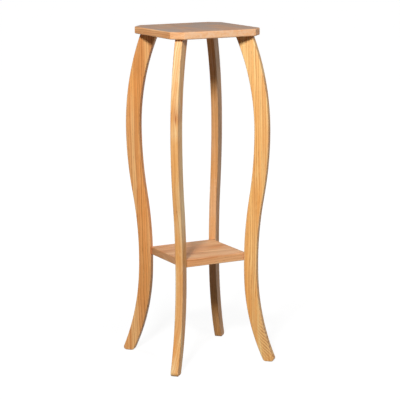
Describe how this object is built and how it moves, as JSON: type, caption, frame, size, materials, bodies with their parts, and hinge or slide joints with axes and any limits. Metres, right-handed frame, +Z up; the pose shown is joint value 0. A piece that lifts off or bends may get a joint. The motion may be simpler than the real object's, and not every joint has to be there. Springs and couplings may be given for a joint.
{
  "type": "plant stand",
  "caption": "Tall wooden plant stand: a square top with cut corners, a small shelf low down, and S-curved legs set on the diagonals, for a pot plant or lamp.",
  "frame": {"origin": "on the floor, under the middle of the top", "axes": "+Z is up, +X and +Y run along the sides of the top, and the legs stand on the diagonals; the leg at -X, -Y is the front_left one, nearest the camera in the picture"},
  "size_m": [0.322, 0.322, 0.915],
  "materials": {
    "top_oak": "satin varnish over oak, worn thin with age",
    "shelf_oak": "satin varnish over oak, worn thin with age",
    "front_left_leg_oak": "satin varnish over oak, worn thin with age",
    "front_right_leg_oak": "satin varnish over oak, worn thin with age",
    "back_right_leg_oak": "satin varnish over oak, worn thin with age",
    "back_left_leg_oak": "satin varnish over oak, worn thin with age",
    "dowel_wood": "bare turned hardwood"
  },
  "bodies": {
    "root": {"top_board": "top_oak", "shelf": "shelf_oak", "front_left_leg": "front_left_leg_oak", "front_right_leg": "front_right_leg_oak", "back_right_leg": "back_right_leg_oak", "back_left_leg": "back_left_leg_oak", "front_left_shelf_dowel": "dowel_wood", "front_left_inner_top_dowel": "dowel_wood", "front_left_outer_top_dowel": "dowel_wood", "front_right_shelf_dowel": "dowel_wood", "front_right_inner_top_dowel": "dowel_wood", "front_right_outer_top_dowel": "dowel_wood", "back_right_shelf_dowel": "dowel_wood", "back_right_inner_top_dowel": "dowel_wood", "back_right_outer_top_dowel": "dowel_wood", "back_left_shelf_dowel": "dowel_wood", "back_left_inner_top_dowel": "dowel_wood", "back_left_outer_top_dowel": "dowel_wood"}
  },
  "joints": []
}
